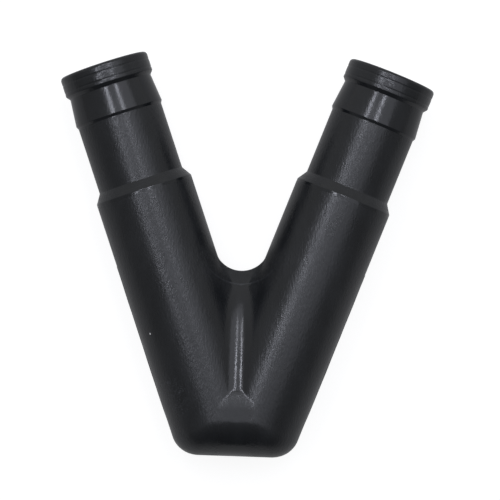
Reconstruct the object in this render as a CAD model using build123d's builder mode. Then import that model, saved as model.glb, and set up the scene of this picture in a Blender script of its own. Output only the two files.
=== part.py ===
from build123d import *
import os
from math import cos, radians, sin, tan

# A hose connector moulded in one piece of soft black rubber. Two spigots stand in a V, and their
# barrels run together into one closed end. It lies flat on its barrels: the plane of the V is
# level, the open ends point to +Y and the origin is under the middle of the whole part.

# Lay-out of the V
half_angle = 20.1  # each arm's axis from the line of symmetry
arm_length = 121.7  # rim to the point where the two axes cross
end_setback = 2.9  # that point to the closed end's outer face

# Spigot, from the rim inwards
bead_radius = 13.05
bead_length = 5.7
bead_chamfer = 0.8  # outer edge of the rim
undercut_length = 1.6  # slope from the bead down to the groove
groove_radius = 12.15
barb_length = 7.5  # the barb widens from the groove towards the neck
barb_radius = 12.95
barb_step = 0.9  # slope from the barb back down to the neck
neck_radius = 12.5  # for a hose of 25 mm bore
neck_length = 19.4

# Barrel
shoulder_length = 2.8
shoulder_round = 1.0
barrel_radius = 14.3

# Closed end, which is rounded from its flat land up to the front and to the back
nose_radius = 12.1
nose_overrun = 0.15  # the rounding would reach this far above the barrels' crests
corner_round = 7.5  # the two lower corners of the outline

# End web, which fills the V between the two crests above the closed end
web_level = 1.7  # level part of its face, from the nose to the slope into the valley
web_slope_radius = 12.0
web_sink = 0.1  # its face lies this far under the barrels' crests
web_crease_round = 1.3

# Valley between the barrels and the web that closes the crotch
valley_radius = 5.8
crotch_radius = 8.0
crotch_run_in = 12.0  # angle at which the crotch's arc meets each barrel
crotch_thickness = 7.2
crotch_edge_round = 3.4
crotch_crease_round = 1.2

# Bores, one up each arm, which join inside the closed end
bore_radius = 9.75
bore_mouth_chamfer = 0.6
bore_end_chamfer = 3.0
end_wall = 3.6  # closed end's outer face to the lowest point of a bore

slope = radians(half_angle)

# Where the features of an arm lie along its axis, measured from the crossing point to the rim
bead_foot = arm_length - bead_length
groove = bead_foot - undercut_length
barb_crest = groove - barb_length
neck_top = barb_crest - barb_step
neck_foot = neck_top - neck_length
barrel_top = neck_foot - shoulder_length
bore_end = (end_setback + end_wall + bore_radius * sin(slope)) / cos(slope)

# Where the features of the V lie along its line of symmetry, measured from the same point
nose_top = end_setback + nose_radius
web_top = nose_top + web_level + web_slope_radius
crotch_centre = (barrel_radius + crotch_radius * cos(radians(crotch_run_in))) / sin(slope)
crotch_top = crotch_centre - crotch_radius * sin(slope)

# Reach of the rim's chamfered outer edge from the crossing point
reach_x = (arm_length - bead_chamfer) * sin(slope) + bead_radius * cos(slope)
reach_y = arm_length * cos(slope) + (bead_radius - bead_chamfer) * sin(slope)
overall_width = 2 * reach_x
overall_length = reach_y - end_setback

crossing = Vector(0, -overall_length / 2 - end_setback, barrel_radius)
v_plane = Plane(origin=crossing)
side_plane = Plane(origin=crossing, x_dir=(0, 1, 0), z_dir=(1, 0, 0))


def arm_axis(side):
    """Axis of the left (-1) or right (1) arm, from the crossing point to the rim."""
    return Axis(crossing, (side * sin(slope), cos(slope), 0))


def arm_plane(side):
    """Plane through an arm's axis: its x is the radius and its y runs up the axis."""
    return Plane(origin=crossing, x_dir=(0, 0, 1), z_dir=(-cos(slope), side * sin(slope), 0))


def between_axes(length):
    """Triangle between the two axes, from the crossing point to the given length along the V."""
    half_width = length * tan(slope)
    return [(0, 0), (-half_width, length), (half_width, length)]


def corner(sketch, radius, station):
    """Corner of a half-section at the given radius and station along the arm."""
    return sketch.vertices().sort_by_distance((radius, station, 0))[0]


def topped_between(low, high):
    """Test for a face whose upper end lies between two stations along the V."""
    return lambda face: low < face.bounding_box().max.Y - crossing.Y < high


def outline(faces):
    """Edges around a group of faces, without those that two of them share."""
    edges = [edge for face in faces for edge in face.edges()]
    return [edge for edge in edges if edges.count(edge) == 1]


# Bull-nosed envelope that rounds off the closed end, front and back
with BuildPart() as nose_envelope:
    with BuildSketch(side_plane) as nose_profile:
        with Locations((end_setback, 0)):
            nose_height = 2 * (barrel_radius + nose_overrun)
            Rectangle(arm_length, nose_height, align=(Align.MIN, Align.CENTER))
        fillet(nose_profile.vertices().group_by(Axis.X)[0], nose_radius)
    extrude(amount=overall_width, both=True)

# End web between the two crests, sloping down into the valley
with BuildPart() as end_web:
    with BuildSketch(v_plane):
        with BuildLine():
            Polyline(between_axes(web_top), close=True)
        make_face()
    extrude(amount=barrel_radius - web_sink, both=True)
    fillet(end_web.edges().filter_by(Axis.X), web_slope_radius)

# Web that closes the crotch in a U, its free edge rounded
with BuildPart() as crotch_web:
    with BuildSketch(v_plane):
        with BuildLine():
            Polyline(between_axes(crotch_top), close=True)
        make_face()
        with Locations((0, crotch_centre)):
            Circle(crotch_radius, mode=Mode.SUBTRACT)
    extrude(amount=crotch_thickness / 2, both=True)
    fillet(crotch_web.edges().filter_by(GeomType.CIRCLE), crotch_edge_round)

with BuildPart() as connector_body:
    for side in (-1, 1):
        with BuildSketch(arm_plane(side)) as arm_section:
            with BuildLine():
                Polyline(
                    (0, 0),
                    (barrel_radius, 0),
                    (barrel_radius, barrel_top),
                    (neck_radius, neck_foot),
                    (neck_radius, neck_top),
                    (barb_radius, barb_crest),
                    (groove_radius, groove),
                    (bead_radius, bead_foot),
                    (bead_radius, arm_length),
                    (0, arm_length),
                    close=True,
                )
            make_face()
            fillet(corner(arm_section, barrel_radius, barrel_top), shoulder_round)
            chamfer(corner(arm_section, bead_radius, arm_length), bead_chamfer)
        revolve(axis=arm_axis(side))

    # Valley, front and back: the curve in which the barrels meet, above the end web
    add(end_web.part)
    meeting_curves = connector_body.edges().filter_by(Plane.YZ).filter_by(GeomType.ELLIPSE)
    fillet(meeting_curves.sort_by(Axis.Y)[-2:], valley_radius)

    # Creases round the end web, which run from the crests up to a point in the valley
    web_faces = connector_body.faces().filter_by(topped_between(nose_top, web_top))
    fillet(outline(web_faces), web_crease_round)

    add(crotch_web.part)
    fillet(connector_body.edges(Select.NEW), crotch_crease_round)

    # Closed end, with one soft corner that runs all the way round it
    add(nose_envelope.part, mode=Mode.INTERSECT)
    nose_faces = connector_body.faces().filter_by(topped_between(0, nose_top))
    fillet(outline(nose_faces), corner_round)

    # Bores, which run together low down behind the end web
    for side in (-1, 1):
        with BuildSketch(arm_plane(side)) as bore_section:
            with BuildLine():
                Polyline(
                    (0, bore_end),
                    (bore_radius - bore_end_chamfer, bore_end),
                    (bore_radius, bore_end + bore_end_chamfer),
                    (bore_radius, arm_length - bore_mouth_chamfer),
                    (bore_radius + bore_mouth_chamfer, arm_length),
                    (0, arm_length),
                    close=True,
                )
            make_face()
        revolve(axis=arm_axis(side), mode=Mode.SUBTRACT)

connector_body.part.label = "connector_body"
os.makedirs("parts", exist_ok=True)
export_step(connector_body.part, "parts/connector_body.step")
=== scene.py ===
"""Looks of a hose connector moulded in one piece of black rubber, two spigots in a V.

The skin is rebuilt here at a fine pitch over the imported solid, from the same sizes, so that the
narrow highlights on its rounds and creases run true. Lengths inside the classes are millimetres.
"""

import logging
import math
from collections.abc import Callable
from dataclasses import dataclass
from enum import Enum

import bpy
import numpy as np
from mathutils import Matrix, Vector

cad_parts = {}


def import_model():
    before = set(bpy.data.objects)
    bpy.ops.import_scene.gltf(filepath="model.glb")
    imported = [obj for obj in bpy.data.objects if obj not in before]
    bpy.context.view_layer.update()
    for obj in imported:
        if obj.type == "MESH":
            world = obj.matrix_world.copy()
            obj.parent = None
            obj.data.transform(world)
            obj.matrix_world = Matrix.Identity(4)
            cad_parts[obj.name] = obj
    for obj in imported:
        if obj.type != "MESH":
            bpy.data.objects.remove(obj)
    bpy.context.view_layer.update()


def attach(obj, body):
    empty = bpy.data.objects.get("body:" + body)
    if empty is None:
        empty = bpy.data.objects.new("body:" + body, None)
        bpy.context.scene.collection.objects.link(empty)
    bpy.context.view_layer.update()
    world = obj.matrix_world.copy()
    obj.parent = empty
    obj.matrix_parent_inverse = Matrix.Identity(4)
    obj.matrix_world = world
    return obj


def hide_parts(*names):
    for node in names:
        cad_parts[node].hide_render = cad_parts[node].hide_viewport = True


LOG = logging.getLogger("v_connector")
MM = 0.001
TINY = 1e-9
ALIKE = 0.9999  # cosine past which two ways count as the same
NOWHERE = 1e3  # level of a form where it plays no part
UP = np.array([0, 0, 1.0])
Pair = tuple[float, float]
Triple = tuple[float, float, float]
Array = np.ndarray
Field = tuple[Array, Array]  # distance from a surface and the way out of it
Rows = tuple[Array, Array]  # points and outward ways, rows by columns by 3
Socket = bpy.types.NodeSocket
Tree = bpy.types.NodeTree
Material = bpy.types.Material
Piece = bpy.types.Object


class Part(Enum):
    """Names that the record gives the connector."""

    BODY = "root"
    NODE = "connector_body"
    SLOT = "moulded_rubber"


class Step(Enum):
    """How a value goes from one end of its range to the other."""

    EVEN = "LINEAR"
    SMOOTH = "SMOOTHSTEP"


# -------- colour, nodes and meshes


def linear(hex_colour: str) -> tuple[float, float, float, float]:
    """Turn an sRGB hex colour to linear.

    Args:
        hex_colour: Six hex digits after a hash.

    Returns:
        Red, green, blue and an alpha of 1.
    """
    parts = [int(hex_colour[i : i + 2], 16) / 255 for i in (1, 3, 5)]
    turned = [c / 12.92 if c <= 0.04045 else ((c + 0.055) / 1.055) ** 2.4 for c in parts]
    return (turned[0], turned[1], turned[2], 1.0)


def add_node(
    tree: Tree, kind: str, values: dict | None = None, **settings: object
) -> bpy.types.Node:
    """Add a node with its settings, and link or fill its inputs.

    Args:
        tree: Tree that takes the node.
        kind: Blender's name for the kind of node, less its prefix.
        values: Input to a value, or to the output that feeds it.
        settings: Properties of the node itself.

    Returns:
        The new node.
    """
    node = tree.nodes.new(f"ShaderNode{kind}")
    for name, value in settings.items():
        setattr(node, name, value)
    for name, value in (values or {}).items():
        if isinstance(value, Socket):
            tree.links.new(value, node.inputs[name])
        else:
            node.inputs[name].default_value = value
    return node


def calc(tree: Tree, operation: str, *values: Socket | float) -> Socket:
    """Output of a maths node over some values, taken in order."""
    return add_node(tree, "Math", dict(enumerate(values)), operation=operation).outputs[0]


def measure(tree: Tree, operation: str, first: Socket, second: Socket | tuple) -> Socket:
    """Single number that a vector maths node makes of two vectors."""
    node = add_node(tree, "VectorMath", {0: first, 1: second}, operation=operation)
    return node.outputs["Value"]


def noise(
    tree: Tree,
    where: Socket,
    pitch: float,
    detail: float,
    roughness: float = 0.5,
    distortion: float = 0.0,
) -> Socket:
    """Add cloudy noise.

    Args:
        tree: Tree that takes the node.
        where: Place on the skin.
        pitch: Size of the largest clouds, in millimetres.
        detail: How many finer layers lie over them.
        roughness: How strong those are.
        distortion: How much the clouds swirl.

    Returns:
        The noise, about a half in the middle.
    """
    values = {
        "Vector": where,
        "Scale": 1 / (pitch * MM),
        "Detail": detail,
        "Roughness": roughness,
        "Distortion": distortion,
    }
    return add_node(tree, "TexNoise", values).outputs[0]


def ranged(
    tree: Tree,
    value: Socket,
    source: Pair,
    target: Pair = (0.0, 1.0),
    step: Step = Step.SMOOTH,
) -> Socket:
    """Turn a value from one range to another, held at both ends.

    Args:
        tree: Tree that takes the node.
        value: Value to turn.
        source: Its range. The first may be the larger.
        target: Range of the result.
        step: How the result goes between its ends.

    Returns:
        The result's output.
    """
    ends = zip(("From Min", "From Max", "To Min", "To Max"), (*source, *target))
    values = {"Value": value, **dict(ends)}
    return add_node(tree, "MapRange", values, interpolation_type=step.value).outputs[0]


def mixed(tree: Tree, share: Socket, base: Socket | tuple, other: Socket | tuple) -> Socket:
    """Colour that goes from a base colour to another one by a share."""
    values = {0: share, 6: base, 7: other}
    return add_node(tree, "Mix", values, data_type="RGBA").outputs[2]


def emptied(owner: Material | bpy.types.World) -> Tree:
    """Give a material or a world a node tree with nothing in it.

    Args:
        owner: The material or the world.

    Returns:
        Its tree.
    """
    owner.use_nodes = True
    owner.node_tree.nodes.clear()
    return owner.node_tree


def meshed(
    name: str, vertices: list, faces: list, finish: Material, smooth: bool = True
) -> Piece:
    """Make a mesh, dress it and put it in the scene.

    Args:
        name: Name of the piece.
        vertices: Points in metres.
        faces: Faces as rows of point numbers.
        finish: Material of the whole piece.
        smooth: Whether its faces are shaded as one curved surface.

    Returns:
        The piece.
    """
    mesh = bpy.data.meshes.new(name)
    mesh.from_pydata(vertices, [], faces)
    mesh.polygons.foreach_set("use_smooth", [smooth] * len(mesh.polygons))
    mesh.update()
    mesh.materials.append(finish)
    piece = bpy.data.objects.new(name, mesh)
    bpy.context.scene.collection.objects.link(piece)
    return piece


# -------- fields of the solid


def lengths(rows: Array) -> Array:
    """Length of each row, never quite nought."""
    return np.maximum(np.linalg.norm(rows, axis=1), TINY)


def rolled(a: Field, b: Field, radius: float) -> Field:
    """Join two solids, with the crease between them filled by a small rolled ball.

    Args:
        a: Field of the first solid.
        b: Field of the second.
        radius: Radius of the ball.

    Returns:
        Field of the joined solid.
    """
    (level_a, out_a), (level_b, out_b) = a, b
    cosine = np.clip(np.sum(out_a * out_b, axis=1), -ALIKE, ALIKE)
    u, v = radius - level_a, radius - level_b
    share_a = (u - cosine * v) / (1 - cosine**2)
    share_b = (v - cosine * u) / (1 - cosine**2)
    reach = np.sqrt(np.maximum(share_a * u + share_b * v, TINY))
    crease = (share_a > 0) & (share_b > 0)
    first = level_a <= level_b
    level = np.where(crease, radius - reach, np.where(first, level_a, level_b))
    blend = (share_a[:, None] * out_a + share_b[:, None] * out_b) / reach[:, None]
    out = np.where(first[:, None], out_a, out_b)
    return level, np.where(crease[:, None], blend, out)


def eased(a: Field, b: Field, radius: float) -> Field:
    """Keep what two solids share, with the edge between their faces rounded off.

    Args:
        a: Field of the first solid.
        b: Field of the second.
        radius: Radius of the edge.

    Returns:
        Field of the shared solid.
    """
    level, out = rolled((-a[0], -a[1]), (-b[0], -b[1]), radius)
    return -level, -out


def half_space(p: Array, way: Triple, reach: float) -> Field:
    """Field of everything short of a plane, which lies square to a way at some reach along it."""
    return p @ way - reach, np.broadcast_to(np.array(way, float), p.shape)


@dataclass(frozen=True)
class VLayout:
    """Sizes of the V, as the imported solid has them."""

    half_angle: float = 20.1
    arm_length: float = 121.7
    end_setback: float = 2.9
    barrel_radius: float = 14.3
    bead_radius: float = 13.05
    bead_chamfer: float = 0.8

    @property
    def lean(self) -> Pair:
        """Sine and cosine of the angle between an arm and the middle line."""
        turn = math.radians(self.half_angle)
        return math.sin(turn), math.cos(turn)

    @property
    def crossing(self) -> Pair:
        """Where the two axes cross, along the middle line and above the floor."""
        rim = np.dot((self.bead_radius - self.bead_chamfer, self.arm_length), self.lean)
        return -(rim - self.end_setback) / 2 - self.end_setback, self.barrel_radius

    @property
    def outwards(self) -> Array:
        """Level way from the right arm's axis to its outer side."""
        sine, cosine = self.lean
        return np.array([cosine, -sine, 0.0])

    @property
    def up_arm(self) -> Array:
        """Way up the right arm's axis, towards its rim."""
        sine, cosine = self.lean
        return np.array([sine, cosine, 0.0])

    def about_axis(self, p: Array) -> Field:
        """Measure points from the right arm's axis.

        Args:
            p: Points of the right half.

        Returns:
            Distance from the axis and the way out from it.
        """
        off = p @ self.outwards
        rho = np.maximum(np.hypot(off, p[:, 2]), TINY)
        return rho, (off / rho)[:, None] * self.outwards + (p[:, 2] / rho)[:, None] * UP


@dataclass(frozen=True)
class JoinedBarrels:
    """The two barrels, the valley and the webs between them, and the bull-nosed closed end."""

    layout: VLayout
    valley_radius: float = 6.9
    web_sink: float = 0.02
    web_level: float = 1.7
    web_slope_radius: float = 12.0
    web_crease: float = 2.3
    web_clearance: float = 0.2  # the end web stops this far short of each axis
    crotch_radius: float = 8.0
    crotch_run_in: float = 12.0
    crotch_edge: float = 2.0
    crotch_ridge: Pair = (3.9, 3.0)  # behind the free edge, and half thickness
    crotch_ridge_round: float = 0.5
    crotch_fall: float = 30.0  # degrees by which the face falls from that ridge to the edge
    crotch_rise: float = 5.0  # and by which it rises behind it, under the valley
    crotch_crease: float = 3.8
    nose_radius: float = 12.1
    nose_overrun: float = 0.15
    corner_round: float = 7.5
    valley_steps: int = 7  # towards the nearest place of the valley's ball
    valley_bend: float = 20.0  # the least bend of its path that those steps reckon with
    corner_steps: int = 12  # towards the nearest place of the closed end's ball
    corner_stride: float = 4.0  # the longest of those steps
    corner_pull: float = 0.5  # share of the way along the path that each step makes good
    corner_spread: float = 1e-3  # squared sine of the flattest crossing they reckon with
    corner_settled: float = 0.02  # how near the ball comes to both faces
    corner_depth: float = 2.5  # how deep the ball is looked for, in its own radii

    def barrel(self, p: Array) -> Field:
        """Field of the right barrel."""
        rho, out = self.layout.about_axis(p)
        return rho - self.layout.barrel_radius, out

    def valley(self, p: Array) -> Field:
        """Field of the barrels with the valley between them filled by a rolled ball.

        The ball's middle runs on an ellipse in the plane of symmetry.

        Args:
            p: Points of the right half.

        Returns:
            Level and outward way.
        """
        level, out = self.barrel(p)
        high = self.layout.barrel_radius + self.valley_radius
        long = high / self.layout.lean[0]
        y, z = p[:, 1], p[:, 2]
        turn = np.arctan2(z * long, y * high)
        for _ in range(self.valley_steps):
            c, s = np.cos(turn), np.sin(turn)
            slope = -(long * c - y) * long * s + (high * s - z) * high * c
            bend = long**2 * (s * s - c * c) + high**2 * (c * c - s * s)
            bend = bend + long * c * y + high * s * z
            turn = np.clip(turn - slope / np.maximum(bend, self.valley_bend), 0, math.pi / 2)
        middle = np.stack([np.zeros_like(y), long * np.cos(turn), high * np.sin(turn)], axis=1)
        touch = self.barrel(middle)[1]
        away = p - middle
        steep = np.sum(touch[:, 1:] ** 2, axis=1)
        share = -np.sum(away[:, 1:] * touch[:, 1:], axis=1) / steep
        between = p @ self.layout.outwards < 0
        inside = (share > 0) & (p[:, 0] < -touch[:, 0] * share) & between
        reach = lengths(away)
        level = np.where(inside, self.valley_radius - reach, level)
        return level, np.where(inside[:, None], -away / reach[:, None], out)

    def end_web(self, p: Array) -> Field:
        """Field of the web that fills the V above the closed end.

        Args:
            p: Points of the right half.

        Returns:
            Level and outward way.
        """
        top = self.layout.end_setback + self.nose_radius + self.web_level + self.web_slope_radius
        height = self.layout.barrel_radius - self.web_sink
        sloping = half_space(p, (0, 1, 0), top), half_space(p, (0, 0, 1), height)
        level, out = eased(*sloping, self.web_slope_radius)
        beyond = p @ self.layout.outwards > -self.web_clearance
        return np.where(beyond, NOWHERE, level), out

    @property
    def crotch_centre(self) -> float:
        """Station along the middle line of the U's centre."""
        run_in = math.cos(math.radians(self.crotch_run_in))
        return (self.layout.barrel_radius + self.crotch_radius * run_in) / self.layout.lean[0]

    def crotch_web(self, p: Array) -> Field:
        """Field of the web that closes the crotch in a U.

        Args:
            p: Points of the right half.

        Returns:
            Level and outward way.
        """
        centre = self.crotch_centre
        top = centre - self.crotch_radius * self.layout.lean[0]
        dx, dy = p[:, 0], p[:, 1] - centre
        reach = np.maximum(np.hypot(dx, dy), TINY)
        edge = np.stack([-dx / reach, -dy / reach, 0 * dx], axis=1)
        past = self.crotch_radius + self.crotch_ridge[0] - reach
        above = p[:, 2] - self.crotch_ridge[1]

        def face(degrees: float) -> Field:
            """Coned face through the web's ridge, falling towards the free edge."""
            fall, flat = math.sin(math.radians(degrees)), math.cos(math.radians(degrees))
            return past * fall + above * flat, edge * fall + flat * UP

        ridge = eased(face(self.crotch_fall), face(self.crotch_rise), self.crotch_ridge_round)
        level, out = eased((self.crotch_radius - reach, edge), ridge, self.crotch_edge)
        hidden = (p[:, 1] > top) | (p @ self.layout.outwards > 0)  # inside the barrel
        return np.where(hidden, NOWHERE, level), out

    def webbed(self, p: Array) -> Field:
        """Field of the barrels, valley and both webs, before the closed end is rounded off."""
        joined = rolled(self.valley(p), self.end_web(p), self.web_crease)
        return rolled(joined, self.crotch_web(p), self.crotch_crease)

    def nose(self, p: Array) -> Field:
        """Field of the bull-nosed envelope of the closed end.

        Args:
            p: Points of the right half.

        Returns:
            Level and outward way.
        """
        end = half_space(p, (0, -1, 0), -self.layout.end_setback)
        top = half_space(p, (0, 0, 1), self.layout.barrel_radius + self.nose_overrun)
        return eased(end, top, self.nose_radius)

    def corner_ball(self, q: Array) -> Array:
        """Nearest place of the ball that rounds the closed end from inside.

        Args:
            q: Points of the right half near the closed end.

        Returns:
            Middle of the ball for each point.
        """
        ball = q.copy()
        for _ in range(self.corner_steps):
            (a, ga), (b, gb) = self.webbed(ball), self.nose(ball)
            along = np.cross(ga, gb)
            spread = np.maximum(np.sum(along**2, axis=1), self.corner_spread)[:, None]
            step = (-self.corner_round - a)[:, None] * np.cross(gb, along)
            step += (-self.corner_round - b)[:, None] * np.cross(along, ga)
            step += self.corner_pull * np.sum((q - ball) * along, axis=1)[:, None] * along
            step /= spread
            ball += step * np.minimum(1, self.corner_stride / lengths(step))[:, None]
        return ball

    def field(self, p: Array) -> Field:
        """Field of the whole outside, its closed end rounded by a ball rolled inside it.

        Args:
            p: Points of the right half.

        Returns:
            Level and outward way.
        """
        (side, out_side), (end, out_end) = self.webbed(p), self.nose(p)
        first = side >= end
        level, out = np.where(first, side, end), np.where(first[:, None], out_side, out_end)
        near = np.minimum(side, end) > -self.corner_depth * self.corner_round
        if not near.any():
            return level, out
        ball = self.corner_ball(p[near])
        (a, ga), (b, gb) = self.webbed(ball), self.nose(ball)
        away = p[near] - ball
        cosine = np.clip(np.sum(ga * gb, axis=1), -ALIKE, ALIKE)
        u, v = np.sum(away * ga, axis=1), np.sum(away * gb, axis=1)
        miss = np.maximum(abs(a + self.corner_round), abs(b + self.corner_round))
        inside = (u > cosine * v) & (v > cosine * u) & (miss < self.corner_settled)
        reach = lengths(away)
        level[near] = np.where(inside, reach - self.corner_round, level[near])
        out[near] = np.where(inside[:, None], away / reach[:, None], out[near])
        return level, out


@dataclass(frozen=True)
class JoinedBores:
    """The two bores, which run together behind the closed end."""

    layout: VLayout
    radius: float = 9.75
    end_chamfer: float = 3.0
    end_wall: float = 3.6

    @property
    def end(self) -> float:
        """Station of a bore's flat end."""
        sine, cosine = self.layout.lean
        return (self.layout.end_setback + self.end_wall + self.radius * sine) / cosine

    def field(self, p: Array) -> Field:
        """Field of the right bore, with the way out of it turned into the hollow.

        Args:
            p: Points of the right half.

        Returns:
            Level and the way into the hollow.
        """
        rho, wide = self.layout.about_axis(p)
        down = -self.layout.up_arm
        half = math.sqrt(0.5)
        wall, floor = rho - self.radius, self.end + p @ down
        slant = (wall + floor + self.end_chamfer) * half
        level = np.maximum(np.maximum(wall, floor), slant)
        out = np.where((level == wall)[:, None], wide, (wide + down) * half)
        out = np.where((level == floor)[:, None], down, out)
        return level, -out


# -------- the spigot's section


@dataclass(frozen=True)
class Corner:
    """Corner of the spigot's section: station up the arm, radius, and its own small round."""

    station: float
    radius: float
    soft: float


@dataclass(frozen=True)
class SpigotSection:
    """Section of a spigot from the barrel up to the rim and down inside the bore."""

    layout: VLayout
    bores: JoinedBores
    barrel_start: float = 66.0
    bore_foot: float = 30.0
    bead_length: float = 5.7
    slope: float = 1.6  # from the bead's foot to the end of the barb, in the solid
    undercut: float = 1.1
    groove_radius: float = 12.15
    barb_length: float = 7.5
    barb_radius: float = 12.95
    barb_step: float = 0.9
    barb_back: float = 0.8  # length of the step's own slope
    neck_radius: float = 12.5
    neck_length: float = 19.4
    shoulder: float = 2.8
    band: float = 2.35  # the bead is turned in three bands
    band_line: float = 0.7
    band_depth: float = 0.075
    mouth: float = 0.6
    pitch: float = 14.0  # degrees between points on a round

    @property
    def barb_crest(self) -> float:
        """Station at which the barb is widest."""
        return self.layout.arm_length - self.bead_length - self.slope - self.barb_length

    @property
    def neck_foot(self) -> float:
        """Station at which the neck meets the shoulder."""
        return self.barb_crest - self.barb_step - self.neck_length

    @property
    def barrel_top(self) -> float:
        """Station of the shoulder's crest."""
        return self.neck_foot - self.shoulder

    def band_lines(self) -> list[Corner]:
        """Draw the two fine lines that part the bead's bands.

        Returns:
            Their corners, from the bead's foot up.
        """
        made = []
        radius, half = self.layout.bead_radius, self.band_line / 2
        for count in (2, 1):
            middle = self.layout.arm_length - count * self.band
            made += [
                Corner(middle - half, radius, 0.9),
                Corner(middle, radius - self.band_depth, 0.08),
                Corner(middle + half, radius, 0.9),
            ]
        return made

    def corners(self) -> list[Corner]:
        """Draw the whole section.

        Returns:
            Its corners, in order from the barrel to the bore's foot.
        """
        rim, bead = self.layout.arm_length, self.layout.bead_radius
        bead_foot = rim - self.bead_length
        return [
            Corner(self.barrel_start, self.layout.barrel_radius, 0),
            Corner(self.barrel_top, self.layout.barrel_radius, 0.6),
            Corner(self.neck_foot, self.neck_radius, 0.6),
            Corner(self.barb_crest - self.barb_back, self.neck_radius, 0.15),
            Corner(self.barb_crest, self.barb_radius, 0.35),
            Corner(bead_foot - self.undercut, self.groove_radius, 0.2),
            Corner(bead_foot, bead, 0.45),
            *self.band_lines(),
            Corner(rim, bead, 1.0),
            Corner(rim, self.bores.radius, self.mouth),
            Corner(self.bore_foot, self.bores.radius, 0),
        ]

    def rounded(self) -> tuple[Array, Array]:
        """Section with every corner rounded.

        Returns:
            Points as station and radius, and the outward way at each.
        """
        corners = self.corners()
        knots = np.array([(c.station, c.radius) for c in corners])
        lines = np.diff(knots, axis=0)
        lines /= np.linalg.norm(lines, axis=1)[:, None]
        normals = np.stack([-lines[:, 1], lines[:, 0]], axis=1)
        points, ways = [knots[0]], [normals[0]]
        for i, corner in enumerate(corners[1:-1], start=1):
            into, onward, way = lines[i - 1], lines[i], normals[i - 1]
            turn = math.atan2(into[0] * onward[1] - into[1] * onward[0], float(into @ onward))
            side = math.copysign(1.0, turn)
            inset = corner.soft * math.tan(abs(turn) / 2)
            middle = knots[i] - into * inset + way * corner.soft * side
            steps = max(2, round(abs(math.degrees(turn)) / self.pitch))
            for angle in (turn * k / steps for k in range(steps + 1)):
                c, s = math.cos(angle), math.sin(angle)
                turned = np.array((way[0] * c - way[1] * s, way[0] * s + way[1] * c))
                points.append(middle - turned * corner.soft * side)
                ways.append(turned)
        return np.array([*points, knots[-1]]), np.array([*ways, normals[-1]])


# -------- the skin


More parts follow.
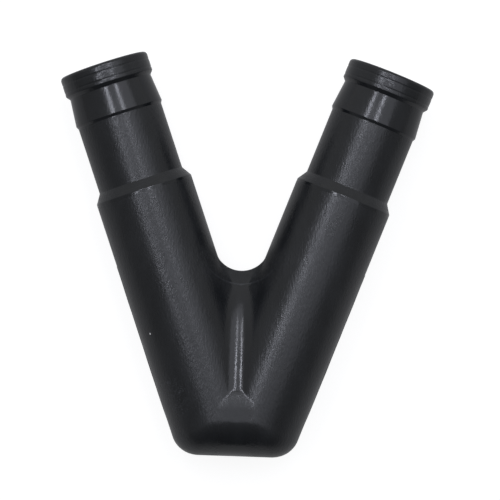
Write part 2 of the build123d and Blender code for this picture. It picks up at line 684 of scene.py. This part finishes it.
@dataclass(frozen=True)
class Skin:
    """Whole surface of the connector, meshed as one quarter and mirrored three times.

    Every row of the quarter is a fan of rays from a point on the arm's axis. Rows step up the arm,
    and at each closed end they swing down about a line across it.
    """

    layout: VLayout
    barrels: JoinedBarrels
    bores: JoinedBores
    section: SpigotSection
    columns: int = 100
    crowding: float = 4.0  # how much closer the columns lie at the inner side than the outer
    pivot: float = 14.0
    swing_rows: int = 22
    bore_pivot: float = 17.0
    bore_swing_rows: int = 12
    bore_climb_rows: int = 11
    crotch_between: Pair = (40.0, 70.0)  # the crotch's edge is looked for here
    far: float = 30.0
    fan_halvings: int = 40
    ray_halvings: int = 26
    flash_height: float = 0.16
    flash_width: float = 0.3
    flash_root: float = 0.06  # how deep the flash starts under the skin
    flash_start: float = 18.0  # station at which it begins to grow
    flash_growth: float = 4.0  # and the length over which it does
    flash_gap: float = 2.0  # between the crotch's edge and the flash
    flash_waves: tuple[Pair, ...] = ((9.0, 0.5), (3.7, 0.3), (1.6, 0.2))

    def shares(self) -> Array:
        """Share of a row's whole turn at each column, closer together on the inner side."""
        even = np.linspace(0, 1, self.columns + 1)
        return (1 + self.crowding) * even / (1 + self.crowding * even)

    def cast(
        self, inside: Callable[[Array], Field], stations: Array, swings: Array
    ) -> Rows:
        """Cast rows of rays from the right arm's axis to a surface, or to the middle plane.

        Args:
            inside: Field whose surface the rays look for.
            stations: Station of each row's own point on the axis.
            swings: Angle by which each row leans down towards the closed end, in radians.

        Returns:
            Points and outward ways.
        """
        start = stations[:, None] * self.layout.up_arm
        wide, down = self.layout.outwards, -self.layout.up_arm
        rise = np.cos(swings)[:, None] * UP + np.sin(swings)[:, None] * down

        def ways(turn: Array, lift: Array) -> Array:
            """Rays at some angle from the outer side, with the lift of each ray's row."""
            return np.cos(turn)[:, None] * wide + np.sin(turn)[:, None] * lift

        def to_middle(origin: Array, way: Array) -> Array:
            """Distance at which a ray meets the middle plane, or far off."""
            return np.minimum(origin[:, 0] / np.maximum(-way[:, 0], TINY), self.far)

        def level(origin: Array, way: Array, reach: Array) -> Array:
            """Level of the field at some reach along each ray."""
            return inside(origin + way * reach[:, None])[0]

        # The last ray of each row: level on the inner side, or up in the middle plane
        low, high = np.full(len(stations), math.pi / 2), np.full(len(stations), math.pi)
        way = ways(high, rise)
        closes = level(start, way, to_middle(start, way)) >= 0
        for _ in range(self.fan_halvings):
            middle = (low + high) / 2
            way = ways(middle, rise)
            clear = level(start, way, to_middle(start, way)) > 0
            low, high = np.where(clear, middle, low), np.where(clear, high, middle)
        last = np.where(closes, math.pi, (low + high) / 2)

        shares = self.shares()
        origin = np.repeat(start, len(shares), axis=0)
        way = ways((last[:, None] * shares).ravel(), np.repeat(rise, len(shares), axis=0))
        high = to_middle(origin, way)
        low = np.zeros_like(high)
        for _ in range(self.ray_halvings):
            middle = (low + high) / 2
            clear = level(origin, way, middle) > 0
            low, high = np.where(clear, low, middle), np.where(clear, middle, high)
        points = origin + way * high[:, None]
        shape = (len(stations), len(shares), 3)
        points, out = points.reshape(shape), inside(points)[1].reshape(shape)
        points[:, 0, 2] = 0
        points[closes, -1, 2] = 0
        points[~closes, -1, 0] = 0
        return points, out

    def crotch_station(self) -> float:
        """Find the lowest point of the crotch's edge.

        Returns:
            Station of the row that meets it.
        """
        low, high = self.crotch_between
        for _ in range(30):
            middle = (low + high) / 2
            clear = self.barrels.field(np.array([[0.0, middle, 0.0]]))[0][0] > 0
            low, high = (low, middle) if clear else (middle, high)
        return high * self.layout.lean[1]

    def outside_rows(self) -> tuple[Array, Array]:
        """Space the rows outside, from the closed end's tip to above the crotch.

        Returns:
            Station and swing of each row.
        """
        swings = np.linspace(math.pi / 2, 0, self.swing_rows + 1)[:-1]
        crotch = self.crotch_station()
        bands = (  # first and last station, and rows: closest at the end web and the crotch
            (self.pivot, 16.5, 7),
            (16.5, 27.0, 44),
            (27.0, 47.0, 20),
            (47.0, crotch, 22),
            (crotch, 60.0, 22),
            (60.0, self.section.barrel_start, 7),
        )
        climbs = [np.linspace(a, b, n, endpoint=False) for a, b, n in bands]
        stations = np.concatenate([np.full(len(swings), self.pivot), *climbs])
        return stations, np.concatenate([swings, np.zeros(len(stations) - len(swings))])

    def bore_rows(self) -> tuple[Array, Array]:
        """Space the rows in the bore, from where the bores part down to the end.

        Returns:
            Station and swing of each row.
        """
        swings = np.linspace(0, math.pi / 2, self.bore_swing_rows + 1)[1:]
        climb = np.linspace(self.section.bore_foot, self.bore_pivot, self.bore_climb_rows + 1)[1:]
        stations = np.concatenate([climb, np.full(len(swings), self.bore_pivot)])
        return stations, np.concatenate([np.zeros(len(climb)), swings])

    def lathed(self) -> Rows:
        """Turn the spigot, from above the crotch over the rim and down the bore.

        Returns:
            Points and outward ways.
        """
        knots, ways = self.section.rounded()
        turn = self.shares() * math.pi
        axis = self.layout.up_arm
        ring = np.cos(turn)[:, None] * self.layout.outwards + np.sin(turn)[:, None] * UP
        ring[[0, -1], 2] = 0
        points = knots[:, 0, None, None] * axis + knots[:, 1, None, None] * ring
        out = ways[:, 0, None, None] * axis + ways[:, 1, None, None] * ring
        return points, out

    def quarter(self) -> Rows:
        """Make a quarter of the skin, from the closed end's tip outside to the bore's end inside.

        Returns:
            Points and outward ways.
        """
        outside, out = self.cast(self.barrels.field, *self.outside_rows())
        hollow, hollow_out = self.cast(self.bores.field, *self.bore_rows())
        turned, turned_out = self.lathed()
        # Swung rows all start from one point of the outline, and the last lies in its plane
        outside[: self.swing_rows, 0] = outside[self.swing_rows, 0]
        outside[0, :, 2] = 0
        hollow[-self.bore_swing_rows :, 0] = hollow[-self.bore_swing_rows - 1, 0]
        hollow[-1, :, 2] = 0
        ways = np.concatenate([out, turned_out, hollow_out])
        return np.concatenate([outside, turned, hollow]), ways

    def outline(self, points: Array, out: Array) -> list[tuple[Array, Array]]:
        """Where the right half's surface crosses the mould's parting plane.

        Args:
            points: Points of the quarter.
            out: Outward way at each.

        Returns:
            The outer run and the inner run.
        """
        end = len(self.outside_rows()[0])
        first = int(np.argmax(np.abs(points[:end, -1, 0]) > 0.01))
        return [(points[:end, 0], out[:end, 0]), (points[first:end, -1], out[first:end, -1])]

    def whole(self) -> tuple[Array, Array, list[tuple[int, ...]]]:
        """Mirror the quarter and weld the four.

        Returns:
            Points in metres in the row's frame, outward ways, and faces.
        """
        points, out = self.quarter()
        rows, columns = points.shape[:2]
        index = np.arange(rows * columns).reshape(rows, columns)
        quads = np.stack([index[:-1, :-1], index[:-1, 1:], index[1:, 1:], index[1:, :-1]], axis=-1)
        quads = quads.reshape(-1, 4)
        shift = (0, *self.layout.crossing)
        all_points, all_out, all_quads = [], [], []
        for count, (sx, sz) in enumerate(((1, 1), (-1, 1), (-1, -1), (1, -1))):
            flip = np.array([sx, 1, sz], float)
            all_points.append(points.reshape(-1, 3) * flip + shift)
            all_out.append(out.reshape(-1, 3) * flip)
            turned = quads if sx * sz < 0 else quads[:, ::-1]
            all_quads.append(turned + count * rows * columns)
        rounded = np.round(np.concatenate(all_points), 5)
        merged, where = np.unique(rounded, axis=0, return_inverse=True)
        where = where.ravel()
        ways = np.zeros_like(merged)
        np.add.at(ways, where, np.concatenate(all_out))
        ways /= lengths(ways)[:, None]
        quads = where[np.concatenate(all_quads)].tolist()
        faces = [tuple(v for i, v in enumerate(quad) if v != quad[i - 1]) for quad in quads]
        return merged * MM, ways, [face for face in faces if len(set(face)) >= 3]

    def flash(self, points: Array, draw: np.random.Generator) -> Array:
        """Height of the flash along a run of the outline.

        Args:
            points: Points of the run.
            draw: Source of its chance waves.

        Returns:
            Height at each point.
        """
        station = points @ self.layout.up_arm
        wave = sum(
            np.sin(station / reach + draw.uniform(0, 6)) * size for reach, size in self.flash_waves
        )
        web = (0, self.barrels.crotch_centre)
        clear = np.hypot(*(points[:, :2] - web).T) - self.barrels.crotch_radius
        fade = np.clip((station - self.flash_start) / self.flash_growth, 0, 1)
        fade *= np.clip((clear - self.flash_gap) / self.flash_growth, 0, 1)
        return self.flash_height * fade * (0.7 + 0.3 * wave)

    def parting_line(self, finish: Material) -> Piece:
        """Make the thin line of flash that the mould's two halves leave along the barrels.

        It grows and fades along each run, and there is none on the closed end or the spigots.

        Args:
            finish: Material of the line.

        Returns:
            The line, one mesh for both arms.
        """
        along, up = self.layout.crossing
        draw = np.random.default_rng(7)
        level = np.array((1, 1, 0))
        vertices, faces = [], []
        for points, out in self.outline(*self.quarter()):
            proud = self.flash(points, draw)
            flat = out * level
            flat /= lengths(flat)[:, None]
            count = len(points)
            for side in (1, -1):
                start = len(vertices)
                for lift, crest in ((-1, False), (0, True), (1, False)):
                    reach = proud if crest else np.full(count, -self.flash_root)
                    row = (points * level + flat * reach[:, None]) * (side, 1, 1)
                    row = row + (0, along, up + lift * self.flash_width / 2)
                    vertices += (row * MM).tolist()
                for a in (start + band * count + i for band in (0, 1) for i in range(count - 1)):
                    quad = (a, a + 1, a + 1 + count, a + count)
                    faces.append(quad if side > 0 else quad[::-1])
        line = meshed("parting_line", vertices, faces, finish)
        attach(line, Part.BODY.value)
        return line

    def build(self, finish: Material) -> Piece:
        """Make the skin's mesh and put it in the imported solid's place.

        Args:
            finish: Material of the whole skin.

        Returns:
            The skin.
        """
        points, ways, faces = self.whole()
        skin = meshed("connector_skin", points.tolist(), faces, finish)
        skin.data.normals_split_custom_set_from_vertices(ways.tolist())
        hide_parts(Part.NODE.value)
        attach(skin, Part.BODY.value)
        return skin


# -------- finishes


@dataclass(frozen=True)
class Place:
    """Outputs that say where on the connector a point of the skin lies, in metres."""

    point: Socket
    along: Socket  # towards the open ends, from the row's origin
    aside: Socket  # off the middle line
    station: Socket  # up the nearer arm, from beside the row's origin
    from_crotch: Socket  # in plan, from the centre of the crotch's U


def within(tree: Tree, length: Socket, limits: Pair) -> Socket:
    """Smooth step of a length, nought at the first limit and one at the second, in mm."""
    return ranged(tree, length, (limits[0] * MM, limits[1] * MM))


@dataclass(frozen=True)
class Spot:
    """Round spot on the skin, by its middle in the row's frame and its reach."""

    middle: Triple
    reach: float

    def share(self, tree: Tree, place: Place) -> Socket:
        """One in the inner half of the spot, nought outside it."""
        away = measure(tree, "DISTANCE", place.point, tuple(c * MM for c in self.middle))
        return within(tree, away, (self.reach, 0.5 * self.reach))


@dataclass(frozen=True)
class CrotchMark:
    """Mark along the crotch's U, by its radius and the limits of its width and reach."""

    radius: float
    width: Pair
    sides: Pair
    ends: Pair

    def share(self, tree: Tree, place: Place) -> Socket:
        """One on the mark, nought off it.

        Args:
            tree: Material's tree.
            place: Where on the skin.

        Returns:
            The result's output.
        """
        off = calc(tree, "SUBTRACT", place.from_crotch, self.radius * MM)
        line = within(tree, calc(tree, "ABSOLUTE", off), self.width)
        aside = calc(tree, "MULTIPLY", line, within(tree, place.aside, self.sides))
        return calc(tree, "MULTIPLY", aside, within(tree, place.along, self.ends))


@dataclass(frozen=True)
class MouldedRubber:
    """Black EPDM rubber, compression moulded in a blasted steel mould.

    The blasting leaves a fine grain that blurs the lamps on the barrels and necks. The barb and
    the bottom of the valley were polished in the mould and the shoulder's crest is worn, so they
    are glossier, and the handled bead lies between the two. The rubber is rough beside the
    crotch and scuffed near the closed end, and a highlight is painted as a lighter line along
    the crotch's U. Limits say where a finish starts and is full.
    """

    layout: VLayout
    barrels: JoinedBarrels
    section: SpigotSection
    colour: str = "#15171a"
    bloom: str = "#1b1d20"
    bloom_limits: Pair = (0.35, 0.75)
    # Lighter colour of the scratches, and of the painted highlight line along the crotch's U
    scratch_and_highlight: str = "#3c3e42"
    ior: float = 1.5
    polished: float = 0.17
    satin: float = 0.3
    polish_from: float = 105.9  # station of the barb's foot
    polish_blend: float = 0.3
    bead_from: float = 114.9
    bead_blend: float = 0.4
    bead_wear: float = 0.55  # share of the polish that the bead has lost
    crest_limits: Pair = (1.1, 0.6)
    valley_limits: Pair = (5.5, 2.0)
    cloud: float = 0.05
    cloud_pitch: float = 5.0
    cloud_limits: Pair = (0.3, 0.7)
    grain_pitch: float = 0.55  # real grit of about 0.1 mm, drawn as coarse as it needs to show
    grain_depth: float = 0.075
    grain_polished: float = 0.35  # share of its depth left by the polish
    streak: float = 0.4  # the grain is drawn out along the V
    scuffed_places: tuple[Spot, Spot] = (
        Spot((-18.3, -41.4, 24.0), 7.5),
        Spot((-14.0, -52.5, 21.0), 5.0),
    )
    scratch_pitch: float = 2.6
    scratch_limits: Pair = (0.02, 0.004)
    scratch_rough: float = 0.2
    dust: str = "#e8e8e8"
    speck: Spot = Spot((-25.34, -23.24, 23.53), 0.34)
    # Painted highlight: a lighter line along the crotch's U that stands in for the lamps' glint on
    # its crease, and where the flash was torn off
    crotch_highlight: CrotchMark = CrotchMark(11.85, (0.32, 0.064), (11.0, 6.0), (-1.0, -4.0))
    crotch_highlight_tone: float = 0.35
    torn: CrotchMark = CrotchMark(0.0, (16.5, 13.0), (2.0, 4.0), (4.0, 0.0))
    torn_rough: float = 0.2
    torn_pitch: float = 1.1
    torn_height: float = 2.2  # of its ripples, in depths of the grain

    def place(self, tree: Tree) -> Place:
        """Work out where on the connector the skin's points lie.

        Args:
            tree: Material's tree.

        Returns:
            The outputs that say so.
        """
        point = add_node(tree, "TexCoord").outputs["Object"]
        apart = add_node(tree, "SeparateXYZ", {0: point})
        sine, cosine = self.layout.lean
        arms = [measure(tree, "DOT_PRODUCT", point, (side * sine, cosine, 0)) for side in (-1, 1)]
        flat = {0: point, 1: (1, 1, 0)}
        plan = add_node(tree, "VectorMath", flat, operation="MULTIPLY")
        centre = (0, (self.layout.crossing[0] + self.barrels.crotch_centre) * MM, 0)
        return Place(
            point=point,
            along=apart.outputs[1],
            aside=calc(tree, "ABSOLUTE", apart.outputs[0]),
            station=calc(tree, "MAXIMUM", *arms),
            from_crotch=measure(tree, "DISTANCE", plan.outputs[0], centre),
        )

    def polish(self, tree: Tree, place: Place) -> Socket:
        """One on the barb, the shoulder's worn crest and the bottom of the valley.

        Args:
            tree: Material's tree.
            place: Where on the skin.

        Returns:
            The result's output.
        """
        start = self.layout.crossing[0] * self.layout.lean[1]

        def above(station: float, blend: float) -> Socket:
            """Smooth step up at a station of the arm."""
            at = start + station
            return within(tree, place.station, (at - blend, at + blend))

        barb = above(self.polish_from, self.polish_blend)
        bead = above(self.bead_from, self.bead_blend)
        spigot = calc(tree, "MULTIPLY_ADD", bead, -self.bead_wear, barb)
        crest = calc(tree, "SUBTRACT", place.station, (start + self.section.barrel_top) * MM)
        worn = within(tree, calc(tree, "ABSOLUTE", crest), self.crest_limits)
        valley = within(tree, place.aside, self.valley_limits)
        return calc(tree, "MAXIMUM", calc(tree, "MAXIMUM", spigot, worn), valley)

    def scuffs(self, tree: Tree, place: Place) -> Socket:
        """One on the hair scratches of the scuffed places, nought off them.

        Args:
            tree: Material's tree.
            place: Where on the skin.

        Returns:
            The result's output.
        """
        wander = noise(tree, place.point, self.scratch_pitch, 2.0, distortion=2.5)
        off = calc(tree, "ABSOLUTE", calc(tree, "SUBTRACT", wander, 0.5))
        hair = ranged(tree, off, self.scratch_limits)
        places = [spot.share(tree, place) for spot in self.scuffed_places]
        return calc(tree, "MULTIPLY", hair, calc(tree, "MAXIMUM", *places))

    def tone(self, tree: Tree, place: Place, cloud: Socket, scuff: Socket) -> Socket:
        """Colour of the rubber, with its bloom, scratches, a painted highlight line along the
        crotch's U and speck of dust.

        Args:
            tree: Material's tree.
            place: Where on the skin.
            cloud: Noise of the bloom.
            scuff: One on the scratches.

        Returns:
            The colour's output.
        """
        bloom = ranged(tree, cloud, self.bloom_limits)
        tone = mixed(tree, bloom, linear(self.colour), linear(self.bloom))
        # Painted highlight: the line along the crotch's U is lightened towards the scratch colour,
        # in place of the lamps' glint on its crease
        line = self.crotch_highlight.share(tree, place)
        scratch_and_highlight_share = calc(tree, "MULTIPLY_ADD", line, self.crotch_highlight_tone, scuff)
        tone = mixed(tree, scratch_and_highlight_share, tone, linear(self.scratch_and_highlight))
        return mixed(tree, self.speck.share(tree, place), tone, linear(self.dust))

    def make(self) -> Material:
        """Make the material.

        Returns:
            The rubber.
        """
        material = bpy.data.materials.new("black EPDM rubber, compression moulded")
        tree = emptied(material)
        place = self.place(tree)
        values = {"Vector": place.point, "Scale": (1, self.streak, 1)}
        drawn = add_node(tree, "Mapping", values).outputs[0]
        cloud = noise(tree, drawn, self.cloud_pitch, 5.0, roughness=0.65)
        polish, scuff = self.polish(tree, place), self.scuffs(tree, place)
        torn = self.torn.share(tree, place)

        # Satin or polished, a little cloudy, and duller where it is scratched or torn
        rough = ranged(tree, polish, (0, 1), (self.satin, self.polished), Step.EVEN)
        cloudy = ranged(tree, cloud, self.cloud_limits, (-self.cloud, self.cloud), Step.EVEN)
        rough = calc(tree, "ADD", rough, cloudy)
        rough = calc(tree, "MULTIPLY_ADD", scuff, self.scratch_rough, rough)
        rough = calc(tree, "MULTIPLY_ADD", torn, self.torn_rough, rough)

        # Blasted grain, which sparkles in the lamps, and ripples where the rubber is torn
        grain = noise(tree, drawn, self.grain_pitch, 3.0)
        ripple = calc(tree, "MULTIPLY", noise(tree, place.point, self.torn_pitch, 4.0), torn)
        height = calc(tree, "MULTIPLY_ADD", ripple, self.torn_height, grain)
        depth = ranged(tree, polish, (0, 1), (1.0, self.grain_polished), Step.EVEN)
        values = {"Strength": depth, "Distance": self.grain_depth * MM, "Height": height}
        bump = add_node(tree, "Bump", values)

        values = {
            "Base Color": self.tone(tree, place, cloud, scuff),
            "IOR": self.ior,
            "Roughness": rough,
            "Normal": bump.outputs[0],
        }
        shader = add_node(tree, "BsdfPrincipled", values)
        add_node(tree, "OutputMaterial", {"Surface": shader.outputs[0]})
        return material


@dataclass(frozen=True)
class WhiteCard:
    """Matt white card. Its own glow keeps it white to the eye round the object's soft shadow."""

    colour: str = "#8a8a8a"
    shown: float = 0.87  # glow towards the camera and through clear things
    mirrored: float = 0.22  # and in glossy things

    def make(self) -> Material:
        """Make the material.

        Returns:
            The card.
        """
        material = bpy.data.materials.new("white card, matt")
        tree = emptied(material)
        path = add_node(tree, "LightPath").outputs
        seen = calc(tree, "MAXIMUM", path["Is Camera Ray"], path["Is Transmission Ray"])
        shown = calc(tree, "MULTIPLY", seen, self.shown)
        level = calc(tree, "MULTIPLY_ADD", path["Is Glossy Ray"], self.mirrored, shown)
        card = add_node(tree, "BsdfDiffuse", {"Color": linear(self.colour)})
        glow = add_node(tree, "Emission", {"Strength": level})
        both = add_node(tree, "AddShader", {0: card.outputs[0], 1: glow.outputs[0]})
        add_node(tree, "OutputMaterial", {"Surface": both.outputs[0]})
        return material


# -------- studio


@dataclass(frozen=True)
class Lamp:
    """Soft box that hangs level over the table, placed from the object's middle."""

    name: str
    place: Triple
    width: float
    length: float
    brightness: float
    turn: float = 0.0  # degrees about the plumb line


@dataclass(frozen=True)
class Studio:
    """White table, soft boxes and a camera that looks straight down. Lengths here are metres."""

    centre: Pair = (2.386 * MM, 1.700 * MM)
    roll: float = 1.997
    height: float = 1.0
    sensor: float = 36.0
    frame_width: float = 144.3 * MM
    object_middle: float = 14.3 * MM
    table_half: float = 3.0
    table_drop: float = 0.2 * MM  # keeps the table clear of the rubber that lies on it
    card: WhiteCard = WhiteCard()
    lamp_colour: str = "#eff2ff"
    room_colour: str = "#ffffff"
    room_near: float = 0.065  # the room behind the closed end is dark
    room_far: float = 0.62
    lamps: tuple[Lamp, ...] = (
        Lamp("ceiling_panel", (0.2, 0.34, 0.90), 1.2, 1.15, 0.85, -14.0),
        Lamp("left_tube", (-0.262, 0.29, 0.86), 0.045, 0.76, 16.0, -6.0),
        Lamp("right_tube", (0.14, 0.375, 0.86), 0.04, 0.59, 16.0),
    )

    def axes(self) -> Matrix:
        """Turn from the picture's right, up and towards axes to the row's frame."""
        return Matrix.Rotation(math.radians(self.roll), 3, "Z")

    def table(self) -> Piece:
        """Lay the white table top under the object.

        Returns:
            The table.
        """
        half = self.table_half
        around = [(-half, -half, 0), (half, -half, 0), (half, half, 0), (-half, half, 0)]
        table = meshed("table_top", around, [(0, 1, 2, 3)], self.card.make(), smooth=False)
        table.location.z = -self.table_drop
        return table

    def light(self) -> None:
        """Hang the soft boxes."""
        middle = Vector((*self.centre, self.object_middle))
        for lamp in self.lamps:
            data = bpy.data.lights.new(lamp.name, "AREA")
            data.shape = "RECTANGLE"
            data.size, data.size_y = lamp.width, lamp.length
            data.energy = math.pi * lamp.width * lamp.length * lamp.brightness
            data.color = linear(self.lamp_colour)[:3]
            box = bpy.data.objects.new(lamp.name, data)
            box.location = middle + self.axes() @ Vector(lamp.place)
            box.rotation_euler.z = math.radians(self.roll + lamp.turn)
            bpy.context.scene.collection.objects.link(box)

    def room(self) -> None:
        """Light the room evenly from dark to bright along the picture, and show it white."""
        world = bpy.data.worlds.new("room")
        tree = emptied(world)
        way = add_node(tree, "TexCoord").outputs["Generated"]
        along = measure(tree, "DOT_PRODUCT", way, tuple(self.axes() @ Vector((0, 1, 0))))
        wall = ranged(tree, along, (-1, 1), (self.room_near, self.room_far), Step.EVEN)
        path = add_node(tree, "LightPath").outputs
        level = calc(tree, "MAXIMUM", wall, path["Is Camera Ray"])
        values = {"Color": linear(self.room_colour), "Strength": level}
        sky = add_node(tree, "Background", values)
        add_node(tree, "OutputWorld", {"Surface": sky.outputs[0]})
        bpy.context.scene.world = world

    def camera(self) -> Piece:
        """Set the camera straight over the table.

        Returns:
            The camera.
        """
        data = bpy.data.cameras.new("camera")
        data.sensor_width = self.sensor
        data.lens = self.sensor * (self.height - self.object_middle) / self.frame_width
        data.clip_start, data.clip_end = 0.05, 20.0
        camera = bpy.data.objects.new("camera", data)
        camera.location = (*self.centre, self.height)
        camera.rotation_euler = (0, 0, math.radians(self.roll))
        bpy.context.scene.collection.objects.link(camera)
        bpy.context.scene.camera = camera
        return camera


def main() -> None:
    """Build the connector and its studio."""
    logging.basicConfig(level=logging.INFO, format="%(name)s: %(message)s")
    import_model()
    bpy.context.scene.view_settings.view_transform = "Standard"

    layout = VLayout()
    barrels, bores = JoinedBarrels(layout), JoinedBores(layout)
    section = SpigotSection(layout, bores)
    rubber = MouldedRubber(layout, barrels, section).make()
    skin = Skin(layout, barrels, bores, section)
    LOG.info("skin: %d faces", len(skin.build(rubber).data.polygons))
    LOG.info("parting line: %d faces", len(skin.parting_line(rubber).data.polygons))

    studio = Studio()
    LOG.info("%s laid", studio.table().name)
    studio.light()
    studio.room()
    LOG.info("%s set over the table", studio.camera().name)


if __name__ == "__main__":
    main()
